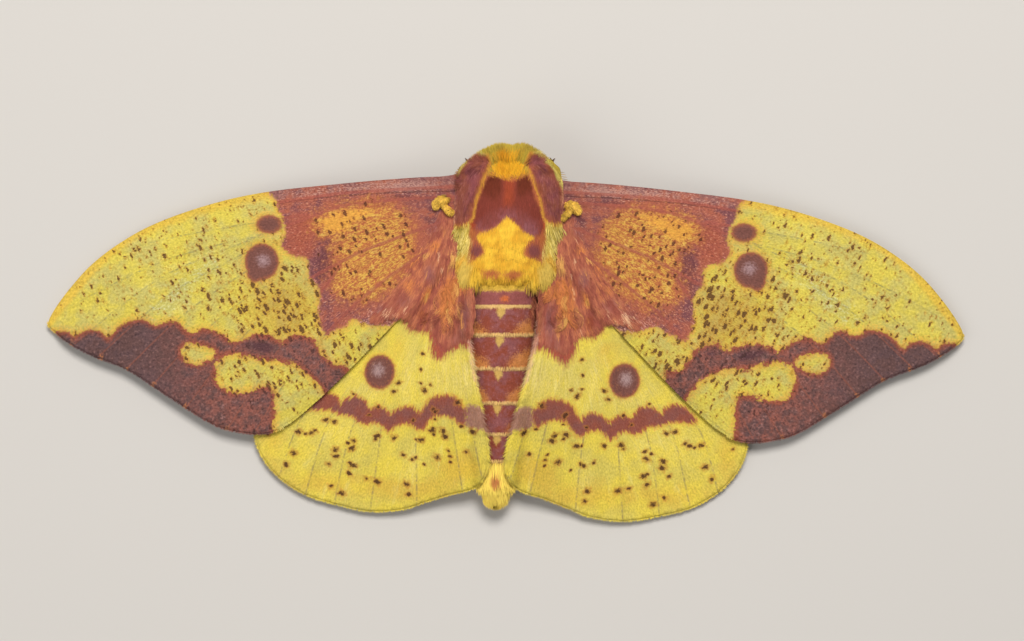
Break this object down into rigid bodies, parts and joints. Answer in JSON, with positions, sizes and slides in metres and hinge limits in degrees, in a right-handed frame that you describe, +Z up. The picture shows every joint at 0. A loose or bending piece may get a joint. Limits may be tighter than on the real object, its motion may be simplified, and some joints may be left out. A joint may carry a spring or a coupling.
{
  "type": "imperial moth model",
  "caption": "Large yellow and wine-purple moth resting on its six feet with all wings spread flat, a life-size still model.",
  "frame": {"origin": "middle of the wings' outline seen from above, on the surface that the feet stand on", "axes": "+Y towards the head, +X towards the moth's right wings, +Z up"},
  "size_m": [0.1212, 0.0498, 0.0126],
  "materials": {
    "yellow": "matt, of fine scales",
    "wine": "matt, of fine scales and fur",
    "eye": "smooth and shiny",
    "horn": "satin horn"
  },
  "bodies": {
    "root": {"thorax": "wine", "abdomen": "wine", "head": "yellow", "forewing_left": "yellow", "hindwing_left": "yellow", "shoulder_left": "wine", "eye_left": "eye", "palp_left": "wine", "antenna_left": "horn", "leg_fore_left": "wine", "leg_mid_left": "wine", "leg_hind_left": "wine", "forewing_right": "yellow", "hindwing_right": "yellow", "shoulder_right": "wine", "eye_right": "eye", "palp_right": "wine", "antenna_right": "horn", "leg_fore_right": "wine", "leg_mid_right": "wine", "leg_hind_right": "wine"}
  },
  "joints": []
}
